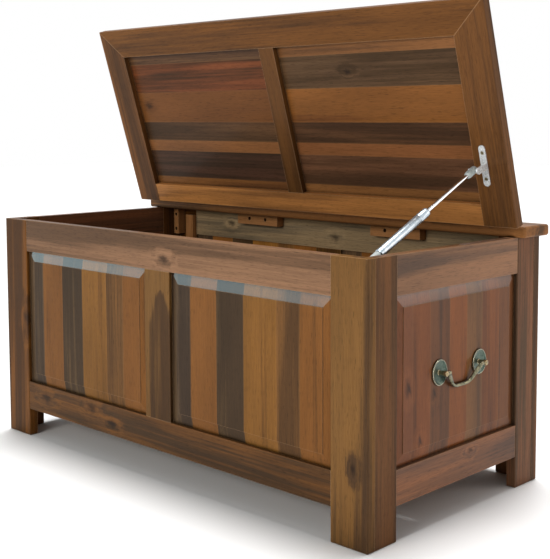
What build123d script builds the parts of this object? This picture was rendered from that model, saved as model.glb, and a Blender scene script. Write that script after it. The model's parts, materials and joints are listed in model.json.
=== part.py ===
"""Acacia storage chest with a hinged panelled lid, a gas strut and two bail handles.

Millimetres, +Z up.  The origin is on the floor under the middle of the body, the front faces -Y
and the chest is long in X.  The lid is drawn open, resting on its stop, and the bails lie against the panels.
"""

import os
from math import asin, atan2, cos, hypot, radians, sin

from build123d import *

# ---------------------------------------------------------------- body
body_length = 1000.0  # over the faces of the legs, along X
body_depth = 475.0  # over the faces of the legs, along Y
body_height = 450.0  # floor to the top of the legs and rails
board_t = 18.0  # leg boards
leg_width = 76.0  # board on the front or rear of a leg
leg_return = 52.0  # board on the side of a leg, behind the first
leg_ease = 2.0  # rounding of the leg edges
foot_ease = 1.0  # chamfer under a leg
rail_setback = 1.0  # rails and stiles stand back from the leg faces
rail_ease = 1.2
foot_clearance = 56.0  # floor to the underside of the bottom rails
bottom_rail_h = 58.0
top_rail_h = 64.0
stile_w = 70.0  # middle stile of the front and rear

# ---------------------------------------------------------------- grooves, tongues and panels
groove_w = 6.0
groove_d = 8.0
groove_set = 7.0  # face of a rail to the side of its groove
fit = 0.1  # play on each side of a tongue
panel_play = 1.0  # room for the panel to swell, at each edge
field_set = 3.0  # face of a rail to the raised field
field_step = 1.2  # square step around the field
bevel_w = 20.0

# ---------------------------------------------------------------- fixed top board and inner blocks
lid_t = 20.0
board_overhang = 20.0  # rear board and lid, past each side of the body
rear_board_depth = 80.0
rear_board_round = 5.0
cleat_length = 125.0
cleat_h = 26.0
cleat_t = 20.0
cleat_spread = 390.0  # between the middles of the two cleats
cleat_hole_spread = 50.0
corner_block_w = 16.0
corner_block_t = 20.0
corner_block_h = 58.0
corner_block_drop = 6.0  # rim to the top of the corner block
corner_hole_spread = 34.0
glue_block_w = 25.0
glue_block_t = 12.0
glue_block_drop = 18.0
glue_block_ease = 1.5
cleat_ease = 1.0

# ---------------------------------------------------------------- floor
floor_t = 10.0
floor_boards = 3
floor_gap = 2.0
bearer_w = 24.0
bearer_h = 20.0
bearer_lift = 10.0  # underside of the bottom rail to the underside of a bearer
floor_ease = 1.0

# ---------------------------------------------------------------- lid
lid_open = 73.6  # degrees from shut to the open stop
lid_shut_gap = 0.3  # under the lid when it is shut
lid_gap = 4.0  # between the lid and the rear board when shut
lid_front_overhang = 8.0
lid_stile_w = 68.0
lid_front_rail_w = 60.0
lid_rear_rail_w = 40.0
lid_muntin_w = 40.0
lid_panel_t = 7.0
lid_rabbet = 9.0  # width of the step that the panels drop into
lid_ease = 2.0
lid_rear_rail_set = 1.0  # the rear rail and muntin stand back from the stiles

# ---------------------------------------------------------------- hinges
knuckle_r = 4.0
hinge_pin_r = 1.5
pin_play = 0.05
leaf_t = 2.0
leaf_w = 20.0
leaf_screw_in = 12.0  # edge of the lid or rear board to the screws of a leaf
hinge_length = 60.0
hinge_inset = 150.0  # end of the body to the middle of a hinge
knuckles = 5
knuckle_play = 0.2
knuckle_clear = 0.4  # around a knuckle, in the leaf beside it
pin_head_r = 2.6
pin_head_t = 1.6

# ---------------------------------------------------------------- gas strut
strut_wall_gap = 14.5  # inner face of the wall to the axis of the strut
strut_lid_reach = 112.0  # rear edge of the lid to the upper ball
strut_lid_drop = 27.0  # underside of the lid to the upper ball
strut_foot_reach = 27.0  # inner face of the front wall to the lower ball
strut_foot_drop = 10.0  # rim to the lower ball
tube_r = 7.5
tube_bore_r = 5.5
tube_end_wall = 4.0
tube_ease = 1.0
rod_r = 3.2
rod_play = 0.05
gland_t = 12.0
piston_t = 8.0
piston_play = 0.2
piston_spare = 20.0  # gland to the piston when the lid is open
rod_shown = 122.0  # rod outside the tube when the lid is open
end_r = 6.5
end_length = 26.0
end_ease = 1.2
end_nose = 6.0  # end fitting beyond the middle of the ball
ball_r = 4.0
ball_play = 0.05
stud_r = 2.5
open_pivot_gap = 0.4  # the upper ball stands this far off the rod end
ear_gap = 3.5  # side of the rod end to the ear
ear_t = 2.5
ear_w = 12.0
plate_t = 2.0
plate_w = 13.0
plate_length = 74.0
plate_screws = 47.0  # between the two lobe screws
foot_plate_h = 40.0
foot_plate_w = 15.0
foot_plate_round = 4.0
foot_plate_top = 8.0  # lower ball to the top of its plate
foot_screw_drop = 13.0  # lower ball to the upper of its two screws
foot_screws = 14.0  # between its two screws

# ---------------------------------------------------------------- handles
handle_z = 248.0  # floor to the bail's pivot
handle_span = 111.0  # between the middles of the backplates
plate_major = 43.0
plate_minor = 38.0
backplate_t = 3.0
backplate_ease = 1.2
post_r = 4.8
post_out = 18.0  # panel face to the end of a post
post_ease = 2.0
bail_out = 13.5  # panel face to the bail's axis
bail_pin_r = 2.0
bail_r = 3.6
bail_drop = 30.0  # along the bail, from its pivot to the middle of its grip
bail_spread = 24.0  # how far each arm comes in over that length
bail_rest = 0.6  # grip to the panel when the bail lies against it
bail_gap = 0.8  # side of a post to the side of the bail's arm
bail_bend = 11.0
bail_eye = 6.4  # length of the round eye at each end of a bail
bail_pin_past = 1.5  # middle of a post to the end of a bail pin
bail_bore_past = 2.0  # middle of a post to the bottom of its bore
stud_bolt_r = 2.0
nut_r = 4.5
nut_t = 3.5
stud_past = 2.0  # bolt beyond its nut

# ---------------------------------------------------------------- wood screws
screw_r = 1.5
screw_head_r = 3.4
screw_length = 15.0
pilot_play = 0.1
pilot_past = 1.0  # pilot hole beyond the point of a screw
recess_r = 4.0  # sunk hole that hides a screw head in a block
recess_left = 8.0  # wood left under a sunk head

# ---------------------------------------------------------------- worked out from the above
rail_t = board_t - rail_setback
tongue_t = groove_w - 2 * fit
tongue_l = groove_d - fit
half_length, half_depth = body_length / 2, body_depth / 2
inner_x, inner_y = half_length - board_t, half_depth - board_t
opening_low = foot_clearance + bottom_rail_h
opening_high = body_height - top_rail_h
groove_top = -(rail_setback + groove_set)  # in a wall's own depth, outward positive
rear_board_front = half_depth - rear_board_depth
lid_length = body_length + 2 * board_overhang
lid_depth = rear_board_front - lid_gap + half_depth + lid_front_overhang
hinge_y = rear_board_front - lid_gap / 2
hinge_z = body_height + lid_t + knuckle_r
lid_top = -knuckle_r  # in the lid's own frame, whose origin is on the hinge axis
lid_low = lid_top - lid_t + lid_shut_gap
lid_back = -lid_gap / 2
lid_front = lid_back - lid_depth
screw_cut_r = screw_r + pilot_play

front_wall = Plane(origin=(0, -half_depth, 0), x_dir=(1, 0, 0), z_dir=(0, -1, 0))
rear_wall = Plane(origin=(0, half_depth, 0), x_dir=(-1, 0, 0), z_dir=(0, 1, 0))
left_wall = Plane(origin=(-half_length, 0, 0), x_dir=(0, -1, 0), z_dir=(-1, 0, 0))
right_wall = Plane(origin=(half_length, 0, 0), x_dir=(0, 1, 0), z_dir=(1, 0, 0))
open_tilt = radians(lid_open)
lid_plane = Plane(
    origin=(0, hinge_y, hinge_z), x_dir=(1, 0, 0), z_dir=(0, sin(open_tilt), cos(open_tilt))
)
wall_side = {"front": half_length - leg_width, "side": half_depth - board_t - leg_return}

os.makedirs("parts", exist_ok=True)


def save(builder, name):
    """Label a finished piece and write it as its own STEP file."""
    builder.part.label = name
    export_step(builder.part, f"parts/{name}.step")


def in_frame(plane, x, y, z=0.0):
    """A plane parallel to the given one, with its origin at a point of that plane's frame."""
    return Plane(origin=plane.from_local_coords(Vector(x, y, z)), x_dir=plane.x_dir, z_dir=plane.z_dir)


def sunk_screws(places):
    """Pilot holes and head countersinks for screws driven along -Z of each place."""
    with Locations(*[place.location for place in places]):
        CounterSinkHole(screw_cut_r, screw_head_r + pilot_play, screw_length + pilot_past, 90)


# ---------------------------------------------------------------- screw places
cleat_x = [-cleat_spread / 2, cleat_spread / 2]
cleat_z = body_height - cleat_h / 2
cleat_screws = [
    Plane(
        origin=(x + side * cleat_hole_spread / 2, inner_y - recess_left, cleat_z),
        x_dir=(1, 0, 0),
        z_dir=(0, -1, 0),
    )
    for x in cleat_x
    for side in (-1, 1)
]
corner_block_z = body_height - corner_block_drop - corner_block_h / 2
corner_screws = [
    Plane(
        origin=(
            end * (inner_x - corner_block_w / 2),
            inner_y - recess_left,
            corner_block_z + side * corner_hole_spread / 2,
        ),
        x_dir=(1, 0, 0),
        z_dir=(0, -1, 0),
    )
    for end in (-1, 1)
    for side in (-1, 1)
]
hinge_x = [-half_length + hinge_inset, half_length - hinge_inset]
leaf_screw_x = [x + step * hinge_length / 3 for x in hinge_x for step in (-1, 0, 1)]
board_leaf_screws = [
    Plane(origin=(x, rear_board_front + leaf_screw_in, body_height + lid_t + leaf_t), z_dir=(0, 0, 1))
    for x in leaf_screw_x
]
lid_leaf_screws = [
    in_frame(lid_plane, x, lid_back - leaf_screw_in, lid_top + leaf_t) for x in leaf_screw_x
]

strut_x = inner_x - strut_wall_gap
lid_ball = lid_plane.from_local_coords(
    Vector(strut_x, lid_back - strut_lid_reach, lid_low - strut_lid_drop)
)
foot_ball = Vector(strut_x, -inner_y + strut_foot_reach, body_height - strut_foot_drop)
strut_run = lid_ball - foot_ball
strut_length = hypot(strut_run.Y, strut_run.Z)
strut_rise = atan2(strut_run.Z, strut_run.Y)
ear_x = strut_x + end_r + ear_gap  # inner face of the lid bracket's ear
plate_x = ear_x + ear_t - plate_w / 2
lid_down = Plane(
    origin=lid_plane.from_local_coords(Vector(plate_x, lid_back - strut_lid_reach, lid_low)),
    x_dir=(1, 0, 0),
    z_dir=-lid_plane.z_dir,
)
lobe_screws = [in_frame(lid_down, 0, side * plate_screws / 2, plate_t) for side in (-1, 1)]
foot_plate_z = foot_ball.Z - foot_plate_h / 2 + foot_plate_top
foot_screw_places = [
    Plane(
        origin=(inner_x - plate_t, foot_ball.Y, foot_ball.Z - foot_screw_drop - row * foot_screws),
        x_dir=(0, 1, 0),
        z_dir=(-1, 0, 0),
    )
    for row in (0, 1)
]


# ---------------------------------------------------------------- legs
def leg_board(wall, outer, inner, name, screws=()):
    """One board of a leg: outer and inner are the places of its two edges along the wall."""
    middle, width = (outer + inner) / 2, abs(inner - outer)
    into_board = 1 if outer > inner else -1
    with BuildPart() as board:
        with BuildSketch(wall):
            with Locations((middle, body_height / 2)):
                Rectangle(width, body_height)
        extrude(amount=-board_t)
        upright = board.edges().filter_by(Axis.Z)
        outward = Axis((0, 0, 0), tuple(wall.z_dir))
        fillet(upright.sort_by(outward)[-2:], leg_ease)
        chamfer(board.edges().filter_by(GeomType.LINE).group_by(Axis.Z)[0], foot_ease)
        # stopped groove for the rails and the panel
        with BuildSketch(wall.offset(groove_top)):
            with Locations((inner + into_board * groove_d / 2, (foot_clearance + body_height) / 2)):
                Rectangle(groove_d, body_height - foot_clearance)
        extrude(amount=-groove_w, mode=Mode.SUBTRACT)
        if screws:
            sunk_screws(screws)
    save(board, name)


for wall, wall_name, sides in (
    (front_wall, "front", {-1: "left", 1: "right"}),
    (rear_wall, "rear", {-1: "right", 1: "left"}),
):
    for end, side_name in sides.items():
        block_screws = corner_screws[:2] if side_name == "left" else corner_screws[2:]
        drilled = block_screws if wall_name == "rear" else ()
        name = f"leg_{wall_name}_{side_name}_face"
        leg_board(wall, end * half_length, end * wall_side["front"], name, drilled)
for wall, side_name, ends in (
    (left_wall, "left", {1: "front", -1: "rear"}),
    (right_wall, "right", {-1: "front", 1: "rear"}),
):
    for end, end_name in ends.items():
        drilled = foot_screw_places if (side_name, end_name) == ("right", "front") else ()
        name = f"leg_{end_name}_{side_name}_return"
        leg_board(wall, end * inner_y, end * wall_side["side"], name, drilled)


# ---------------------------------------------------------------- rails, stiles and panels of the walls
def wall_rail(wall, half_span, low, high, groove_up, name, screws=()):
    """A rail between two legs, tongued at both ends and grooved on its panel edge."""
    middle, height = (low + high) / 2, high - low
    with BuildPart() as rail:
        with BuildSketch(wall.offset(-rail_setback)):
            with Locations((0, middle)):
                Rectangle(2 * half_span, height)
        extrude(amount=-rail_t)
        long_edges = rail.edges().filter_by(Axis((0, 0, 0), tuple(wall.x_dir)))
        outward = Axis((0, 0, 0), tuple(wall.z_dir))
        fillet(long_edges.sort_by(outward)[-2:], rail_ease)
        with BuildSketch(wall.offset(groove_top - fit)):
            with Locations((0, middle)):
                Rectangle(2 * (half_span + tongue_l), height)
        extrude(amount=-tongue_t)
        edge = high - groove_d / 2 if groove_up else low + groove_d / 2
        with BuildSketch(wall.offset(groove_top)):
            with Locations((0, edge)):
                Rectangle(2 * (half_span + groove_d), groove_d)
        extrude(amount=-groove_w, mode=Mode.SUBTRACT)
        if screws:
            sunk_screws(screws)
    save(rail, name)


def wall_stile(wall, name):
    """The middle stile, tongued into both rails and grooved on both edges."""
    middle, height = (opening_low + opening_high) / 2, opening_high - opening_low
    with BuildPart() as stile:
        with BuildSketch(wall.offset(-rail_setback)):
            with Locations((0, middle)):
                Rectangle(stile_w, height)
        extrude(amount=-rail_t)
        outward = Axis((0, 0, 0), tuple(wall.z_dir))
        fillet(stile.edges().filter_by(Axis.Z).sort_by(outward)[-2:], rail_ease)
        with BuildSketch(wall.offset(groove_top - fit)):
            with Locations((0, middle)):
                Rectangle(stile_w, height + 2 * tongue_l)
        extrude(amount=-tongue_t)
        with BuildSketch(wall.offset(groove_top)):
            with Locations(
                (-(stile_w - groove_d) / 2, middle), ((stile_w - groove_d) / 2, middle)
            ):
                Rectangle(groove_d, height + 2 * groove_d)
        extrude(amount=-groove_w, mode=Mode.SUBTRACT)
    save(stile, name)


def raised_panel(wall, left, right, name, bolts=()):
    """A raised panel: an edge tongue, a long bevel, a small square step and a flat field."""
    middle = ((left + right) / 2, (opening_low + opening_high) / 2)
    seen_w, seen_h = right - left, opening_high - opening_low
    reach = 2 * (groove_d - panel_play)
    tongue_face = groove_top - fit
    field_face = -(rail_setback + field_set)
    with BuildPart() as panel:
        with BuildSketch(wall.offset(tongue_face)):
            with Locations(middle):
                Rectangle(seen_w + reach, seen_h + reach)
        extrude(amount=-tongue_t)
        with BuildSketch(wall.offset(tongue_face)):
            with Locations(middle):
                Rectangle(seen_w - 2 * fit, seen_h - 2 * fit)
        with BuildSketch(wall.offset(field_face - field_step)):
            with Locations(middle):
                Rectangle(seen_w - 2 * bevel_w, seen_h - 2 * bevel_w)
        loft()
        with BuildSketch(wall.offset(field_face - field_step)):
            with Locations(middle):
                Rectangle(seen_w - 2 * bevel_w, seen_h - 2 * bevel_w)
        extrude(amount=field_step)
        if bolts:
            with Locations(*[wall.location * Location((u, v, 0)) for u, v in bolts]):
                Hole(stud_bolt_r + fit, board_t)
    save(panel, name)


for wall, name, sides in (
    (front_wall, "front", ("left", "right")),
    (rear_wall, "rear", ("right", "left")),
):
    half_span = wall_side["front"]
    rail_screws = cleat_screws if name == "rear" else ()
    wall_rail(wall, half_span, opening_high, body_height, False, f"{name}_top_rail", rail_screws)
    wall_rail(wall, half_span, foot_clearance, opening_low, True, f"{name}_bottom_rail")
    wall_stile(wall, f"{name}_stile")
    raised_panel(wall, -half_span, -stile_w / 2, f"{name}_panel_{sides[0]}")
    raised_panel(wall, stile_w / 2, half_span, f"{name}_panel_{sides[1]}")

handle_bolts = [(-handle_span / 2, handle_z), (handle_span / 2, handle_z)]
for wall, name in ((left_wall, "left"), (right_wall, "right")):
    half_span = wall_side["side"]
    wall_rail(wall, half_span, opening_high, body_height, False, f"{name}_top_rail")
    wall_rail(wall, half_span, foot_clearance, opening_low, True, f"{name}_bottom_rail")
    raised_panel(wall, -half_span, half_span, f"{name}_panel", handle_bolts)

# ---------------------------------------------------------------- fixed rear board and its blocks
with BuildPart() as rear_board:
    with BuildSketch(Plane.XY.offset(body_height)):
        with Locations((0, half_depth - rear_board_depth / 2)):
            Rectangle(lid_length, rear_board_depth)
    extrude(amount=lid_t)
    fillet(rear_board.edges().filter_by(Axis.Z), rear_board_round)
    fillet(rear_board.faces().sort_by(Axis.Z)[-1].edges(), rear_board_round)
    fillet(rear_board.faces().sort_by(Axis.Z)[0].edges(), rear_board_round)
    sunk_screws(board_leaf_screws)
save(rear_board, "rear_top_board")


def recessed(places, depth):
    """Wide sunk holes from a block's face down to the screw heads."""
    with Locations(*[place.location for place in places]):
        Cylinder(recess_r, depth, align=(Align.CENTER, Align.CENTER, Align.MIN), mode=Mode.SUBTRACT)


for name, x, places in zip(("left", "right"), cleat_x, (cleat_screws[:2], cleat_screws[2:])):
    with BuildPart() as cleat:
        with BuildSketch(Plane.XY.offset(body_height - cleat_h)):
            with Locations((x, inner_y - cleat_t / 2)):
                Rectangle(cleat_length, cleat_t)
        extrude(amount=cleat_h)
        chamfer(cleat.edges().filter_by(Axis.X).sort_by(Axis.Y)[:1], cleat_ease)
        recessed(places, cleat_t)
        sunk_screws(places)
    save(cleat, f"rear_cleat_{name}")

for name, end, places in zip(("left", "right"), (-1, 1), (corner_screws[:2], corner_screws[2:])):
    with BuildPart() as block:
        with BuildSketch(Plane.XY.offset(corner_block_z - corner_block_h / 2)):
            with Locations((end * (inner_x - corner_block_w / 2), inner_y - corner_block_t / 2)):
                Rectangle(corner_block_w, corner_block_t)
        extrude(amount=corner_block_h)
        recessed(places, corner_block_t)
        sunk_screws(places)
    save(block, f"corner_block_{name}")

glue_block_x = wall_side["front"] + glue_block_w / 2
glue_block_low = opening_low
with BuildPart() as glue_blocks:
    with BuildSketch(Plane.XY.offset(glue_block_low)):
        with Locations(
            (-glue_block_x, inner_y - glue_block_t / 2), (glue_block_x, inner_y - glue_block_t / 2)
        ):
            Rectangle(glue_block_w, glue_block_t)
    extrude(amount=body_height - glue_block_drop - glue_block_low)
    fillet(glue_blocks.edges().filter_by(Axis.Z).sort_by(Axis.Y)[:4], glue_block_ease)
save(glue_blocks, "rear_glue_blocks")

# ---------------------------------------------------------------- floor
bearer_low = foot_clearance + bearer_lift
floor_low = bearer_low + bearer_h
bearer_x = {"left": -inner_x + bearer_w / 2, "middle": 0.0, "right": inner_x - bearer_w / 2}
bearer_reach = {"left": wall_side["side"], "middle": inner_y, "right": wall_side["side"]}
for name, x in bearer_x.items():
    with BuildPart() as bearer:
        with BuildSketch(Plane.XY.offset(bearer_low)):
            with Locations((x, 0)):
                Rectangle(bearer_w, 2 * bearer_reach[name])
        extrude(amount=bearer_h)
    save(bearer, f"floor_bearer_{name}")

floor_width = (2 * inner_y - (floor_boards + 1) * floor_gap) / floor_boards
for number in range(floor_boards):
    y = -inner_y + floor_gap + floor_width / 2 + number * (floor_width + floor_gap)
    with BuildPart() as board:
        with BuildSketch(Plane.XY.offset(floor_low)):
            with Locations((0, y)):
                Rectangle(2 * (inner_x - floor_gap), floor_width)
        extrude(amount=floor_t)
        fillet(board.faces().sort_by(Axis.Z)[-1].edges().filter_by(Axis.X), floor_ease)
    save(board, f"floor_board_{number + 1}")

# ---------------------------------------------------------------- lid
panel_low = lid_top - lid_panel_t  # the lid panels are flush with the top of the frame
inner_half = lid_length / 2 - lid_stile_w
panel_back, panel_front = lid_back - lid_rear_rail_w, lid_front + lid_front_rail_w


def lid_blank(points, low):
    """A lid member from its outline in the lid's own frame, up to the top of the lid."""
    with BuildSketch(lid_plane.offset(low)) as outline:
        with BuildLine():
            Polyline(*points, close=True)
        make_face()
    extrude(outline.sketch, amount=lid_top - low)


def rabbet(left, right, front, back):
    """The step on the upper side that a lid panel drops into."""
    with BuildSketch(lid_plane.offset(panel_low)) as step:
        with Locations(((left + right) / 2, (front + back) / 2)):
            Rectangle(right - left, abs(back - front))
    extrude(step.sketch, amount=lid_panel_t, mode=Mode.SUBTRACT)


for name, end in (("left", -1), ("right", 1)):
    outer, inner = end * lid_length / 2, end * inner_half
    with BuildPart() as stile:
        lid_blank(
            [(outer, lid_front), (inner, panel_front), (inner, lid_back), (outer, lid_back)], lid_low
        )
        upright = stile.edges().filter_by(Axis((0, 0, 0), tuple(lid_plane.y_dir)))
        fillet(upright.sort_by(Axis.X)[-2:] if end > 0 else upright.sort_by(Axis.X)[:2], lid_ease)
        near, far = sorted((inner, inner + end * lid_rabbet))
        rabbet(near, far, panel_front - lid_rabbet, panel_back + lid_rabbet)
        if name == "right":
            sunk_screws(lobe_screws)
    save(stile, f"lid_stile_{name}")

with BuildPart() as lid_front_rail:
    lid_blank(
        [
            (-lid_length / 2, lid_front),
            (lid_length / 2, lid_front),
            (inner_half, panel_front),
            (-inner_half, panel_front),
        ],
        lid_low,
    )
    along_x = lid_front_rail.edges().filter_by(Axis.X)
    lid_outward = Axis((0, 0, 0), tuple(-lid_plane.y_dir))
    fillet(along_x.sort_by(lid_outward)[-2:], lid_ease)
    rabbet(-inner_half - lid_rabbet, inner_half + lid_rabbet, panel_front - lid_rabbet, panel_front)
save(lid_front_rail, "lid_front_rail")

with BuildPart() as lid_rear_rail:
    lid_blank(
        [
            (-inner_half, panel_back),
            (inner_half, panel_back),
            (inner_half, lid_back),
            (-inner_half, lid_back),
        ],
        lid_low + lid_rear_rail_set,
    )
    rabbet(-inner_half, inner_half, panel_back, panel_back + lid_rabbet)
    sunk_screws(lid_leaf_screws)
save(lid_rear_rail, "lid_rear_rail")

half_muntin = lid_muntin_w / 2
with BuildPart() as lid_muntin:
    lid_blank(
        [
            (-half_muntin, panel_front),
            (half_muntin, panel_front),
            (half_muntin, panel_back),
            (-half_muntin, panel_back),
        ],
        lid_low + lid_rear_rail_set,
    )
    rabbet(-half_muntin, -half_muntin + lid_rabbet, panel_front, panel_back)
    rabbet(half_muntin - lid_rabbet, half_muntin, panel_front, panel_back)
save(lid_muntin, "lid_muntin")

seat = lid_rabbet - fit
for name, end in (("left", -1), ("right", 1)):
    near, far = sorted((end * (half_muntin - seat), end * (inner_half + seat)))
    with BuildPart() as lid_panel:
        lid_blank(
            [
                (near, panel_front - seat),
                (far, panel_front - seat),
                (far, panel_back + seat),
                (near, panel_back + seat),
            ],
            panel_low,
        )
    save(lid_panel, f"lid_panel_{name}")


# ---------------------------------------------------------------- hinges
knuckle_l = hinge_length / knuckles
axis_plane = Plane(origin=(0, hinge_y, hinge_z), x_dir=(0, 1, 0), z_dir=(1, 0, 0))
bore_r = hinge_pin_r + pin_play


def hinge_leaf(name, x, flat, reach, odd, screws):
    """A leaf lying in the flat plane, with its share of the knuckles around the hinge axis."""
    start = x - hinge_length / 2
    with BuildPart() as leaf:
        with BuildSketch(flat.offset(-knuckle_r)):
            with Locations((x, reach / 2)):
                Rectangle(hinge_length, abs(reach))
        extrude(amount=leaf_t)
        for number in range(knuckles):
            mine = (number % 2 == 0) == odd
            low = start + number * knuckle_l + (knuckle_play / 2 if mine else -knuckle_play / 2)
            length = knuckle_l - knuckle_play if mine else knuckle_l + knuckle_play
            with BuildSketch(axis_plane.offset(low)):
                Circle(knuckle_r if mine else knuckle_r + knuckle_clear)
            extrude(amount=length, mode=Mode.ADD if mine else Mode.SUBTRACT)
        with BuildSketch(axis_plane.offset(start)):
            Circle(bore_r)
        extrude(amount=hinge_length, mode=Mode.SUBTRACT)
        sunk_screws(screws)
    save(leaf, name)


box_flat = Plane(origin=(0, hinge_y, hinge_z), x_dir=(1, 0, 0), z_dir=(0, 0, 1))
leaf_reach = leaf_w + lid_gap / 2
for number, (name, x) in enumerate(zip(("left", "right"), hinge_x)):
    mine = slice(3 * number, 3 * number + 3)
    hinge_leaf(f"hinge_{name}_board_leaf", x, box_flat, leaf_reach, True, board_leaf_screws[mine])
    hinge_leaf(f"hinge_{name}_lid_leaf", x, lid_plane, -leaf_reach, False, lid_leaf_screws[mine])

with BuildPart() as hinge_pins:
    for x in hinge_x:
        with BuildSketch(axis_plane.offset(x - hinge_length / 2 - pin_head_t)):
            Circle(hinge_pin_r)
        extrude(amount=hinge_length + 2 * pin_head_t)
        with BuildSketch(
            axis_plane.offset(x - hinge_length / 2 - pin_head_t),
            axis_plane.offset(x + hinge_length / 2),
        ):
            Circle(pin_head_r)
        extrude(amount=pin_head_t)
save(hinge_pins, "hinge_pins")

# ---------------------------------------------------------------- gas strut
strut_plane = Plane(
    origin=foot_ball, x_dir=(1, 0, 0), z_dir=(0, cos(strut_rise), sin(strut_rise))
)  # Z runs up the strut from the lower ball
across_strut = Plane(origin=foot_ball, x_dir=(0, 1, 0), z_dir=(1, 0, 0))
tube_low = end_length - end_nose
tube_high = strut_length - rod_shown - tube_low
rod_low = tube_high - gland_t - piston_spare - piston_t
rod_high = strut_length - tube_low


def end_fitting(centre, toward):
    """A ball end: a cylinder along the strut, drilled across for the ball and its stud."""
    low, high = (-end_nose, end_length - end_nose) if toward > 0 else (end_nose - end_length, end_nose)
    with BuildSketch(strut_plane.offset(centre + low)) as section:
        Circle(end_r)
    extrude(section.sketch, amount=high - low)


with BuildPart() as strut_tube:
    with BuildSketch(strut_plane.offset(tube_low)):
        Circle(tube_r)
    extrude(amount=tube_high - tube_low)
    fillet(strut_tube.edges().filter_by(GeomType.CIRCLE), tube_ease)
    end_fitting(0, 1)
    with BuildSketch(strut_plane.offset(tube_low + tube_end_wall)):
        Circle(tube_bore_r)
    extrude(amount=tube_high - gland_t - tube_low - tube_end_wall, mode=Mode.SUBTRACT)
    with BuildSketch(strut_plane.offset(tube_high - gland_t)):
        Circle(rod_r + rod_play)
    extrude(amount=gland_t, mode=Mode.SUBTRACT)
    with BuildSketch(across_strut.offset(-ball_play)):
        Circle(ball_r + ball_play)
    extrude(amount=end_r + ball_play, mode=Mode.SUBTRACT)
save(strut_tube, "strut_tube")

with BuildPart() as strut_rod:
    with BuildSketch(strut_plane.offset(rod_low)):
        Circle(rod_r)
    extrude(amount=rod_high - rod_low)
    with BuildSketch(strut_plane.offset(rod_low)):
        Circle(tube_bore_r - piston_play)
    extrude(amount=piston_t)
save(strut_rod, "strut_rod")

with BuildPart() as strut_rod_end:
    end_fitting(strut_length, -1)
    fillet(strut_rod_end.edges().filter_by(GeomType.CIRCLE), end_ease)
save(strut_rod_end, "strut_rod_end")

foot_plate = Plane(origin=(inner_x, foot_ball.Y, foot_plate_z), x_dir=(0, 1, 0), z_dir=(-1, 0, 0))
with BuildPart() as strut_foot:
    with BuildSketch(foot_plate):
        RectangleRounded(foot_plate_w, foot_plate_h, foot_plate_round)
    extrude(amount=plate_t)
    with BuildSketch(across_strut):
        Circle(ball_r)
    extrude(amount=strut_wall_gap)
    sunk_screws(foot_screw_places)
save(strut_foot, "strut_foot_bracket")

ball_plane = Plane(origin=lid_ball, x_dir=(0, 1, 0), z_dir=(1, 0, 0))
ear_plane = Plane(origin=(ear_x, lid_ball.Y, lid_ball.Z), x_dir=lid_plane.y_dir, z_dir=(1, 0, 0))
with BuildPart() as strut_lid_bracket:
    with BuildSketch(lid_down):
        SlotOverall(plate_length, plate_w, rotation=90)
    extrude(amount=plate_t)
    with BuildSketch(ear_plane):
        with Locations((0, strut_lid_drop / 2)):
            Rectangle(ear_w, strut_lid_drop)
        Circle(ear_w / 2)
    extrude(amount=ear_t)
    with BuildSketch(ball_plane.offset(end_r + open_pivot_gap)):
        Circle(stud_r)
    extrude(amount=ear_x - strut_x - end_r - open_pivot_gap)
    sunk_screws(lobe_screws)
save(strut_lid_bracket, "strut_lid_bracket")


# ---------------------------------------------------------------- handles
nut_face = groove_top - fit - tongue_t  # the back of a panel
for name, wall in (("left", left_wall), ("right", right_wall)):
    panel_face = wall.offset(-(rail_setback + field_set))
    with BuildPart() as mounts:
        with BuildSketch(panel_face):
            with Locations(*handle_bolts):
                Ellipse(plate_minor / 2, plate_major / 2)
        extrude(amount=backplate_t)
        outward = Axis((0, 0, 0), tuple(wall.z_dir))
        fillet(mounts.faces().group_by(outward)[-1].edges(), backplate_ease)
        with BuildSketch(panel_face):
            with Locations(*handle_bolts):
                Circle(post_r)
        extrude(amount=post_out)
        fillet(mounts.faces().group_by(outward)[-1].edges(), post_ease)
        with BuildSketch(wall.offset(nut_face - nut_t - stud_past)):
            with Locations(*handle_bolts):
                Circle(stud_bolt_r)
        extrude(amount=nut_t + stud_past - nut_face - rail_setback - field_set)
        pivot = in_frame(panel_face, 0, handle_z, bail_out)
        pivot_line = Plane(origin=pivot.origin, x_dir=wall.z_dir, z_dir=wall.x_dir)
        with BuildSketch(pivot_line):
            Circle(bail_pin_r + pin_play)
        extrude(amount=handle_span / 2 + bail_bore_past, both=True, mode=Mode.SUBTRACT)
    save(mounts, f"handle_{name}_mounts")

    arm = handle_span / 2 - post_r - bail_gap - bail_r
    pin_end = handle_span / 2 + bail_pin_past
    lying = asin((bail_out - bail_r - bail_rest) / bail_drop)
    swing_normal = wall.z_dir * cos(lying) - wall.y_dir * sin(lying)
    swing = Plane(origin=pivot.origin, x_dir=wall.x_dir, z_dir=swing_normal)
    arm_way = swing.x_dir * bail_spread - swing.y_dir * bail_drop
    grip = arm - bail_spread  # half the length of the straight grip, corner to corner
    with BuildPart() as bail:
        with BuildLine(swing) as bail_line:
            FilletPolyline((-arm, 0), (-grip, -bail_drop), (grip, -bail_drop), (arm, 0), radius=bail_bend)
        with BuildSketch(Plane(origin=swing.from_local_coords(Vector(-arm, 0, 0)), z_dir=arm_way)):
            Circle(bail_r)
        sweep(path=bail_line.line)
        for side in (-1, 1):
            start = swing.from_local_coords(Vector(side * (arm - bail_eye / 2), 0, 0))
            outward = wall.x_dir * side
            with BuildSketch(Plane(origin=start, z_dir=outward)):
                Circle(bail_pin_r)
            extrude(amount=pin_end - arm + bail_eye / 2)
            with BuildSketch(Plane(origin=start, z_dir=outward)):
                Circle(bail_r)
            extrude(amount=bail_eye)
    save(bail, f"handle_{name}_bail")

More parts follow.
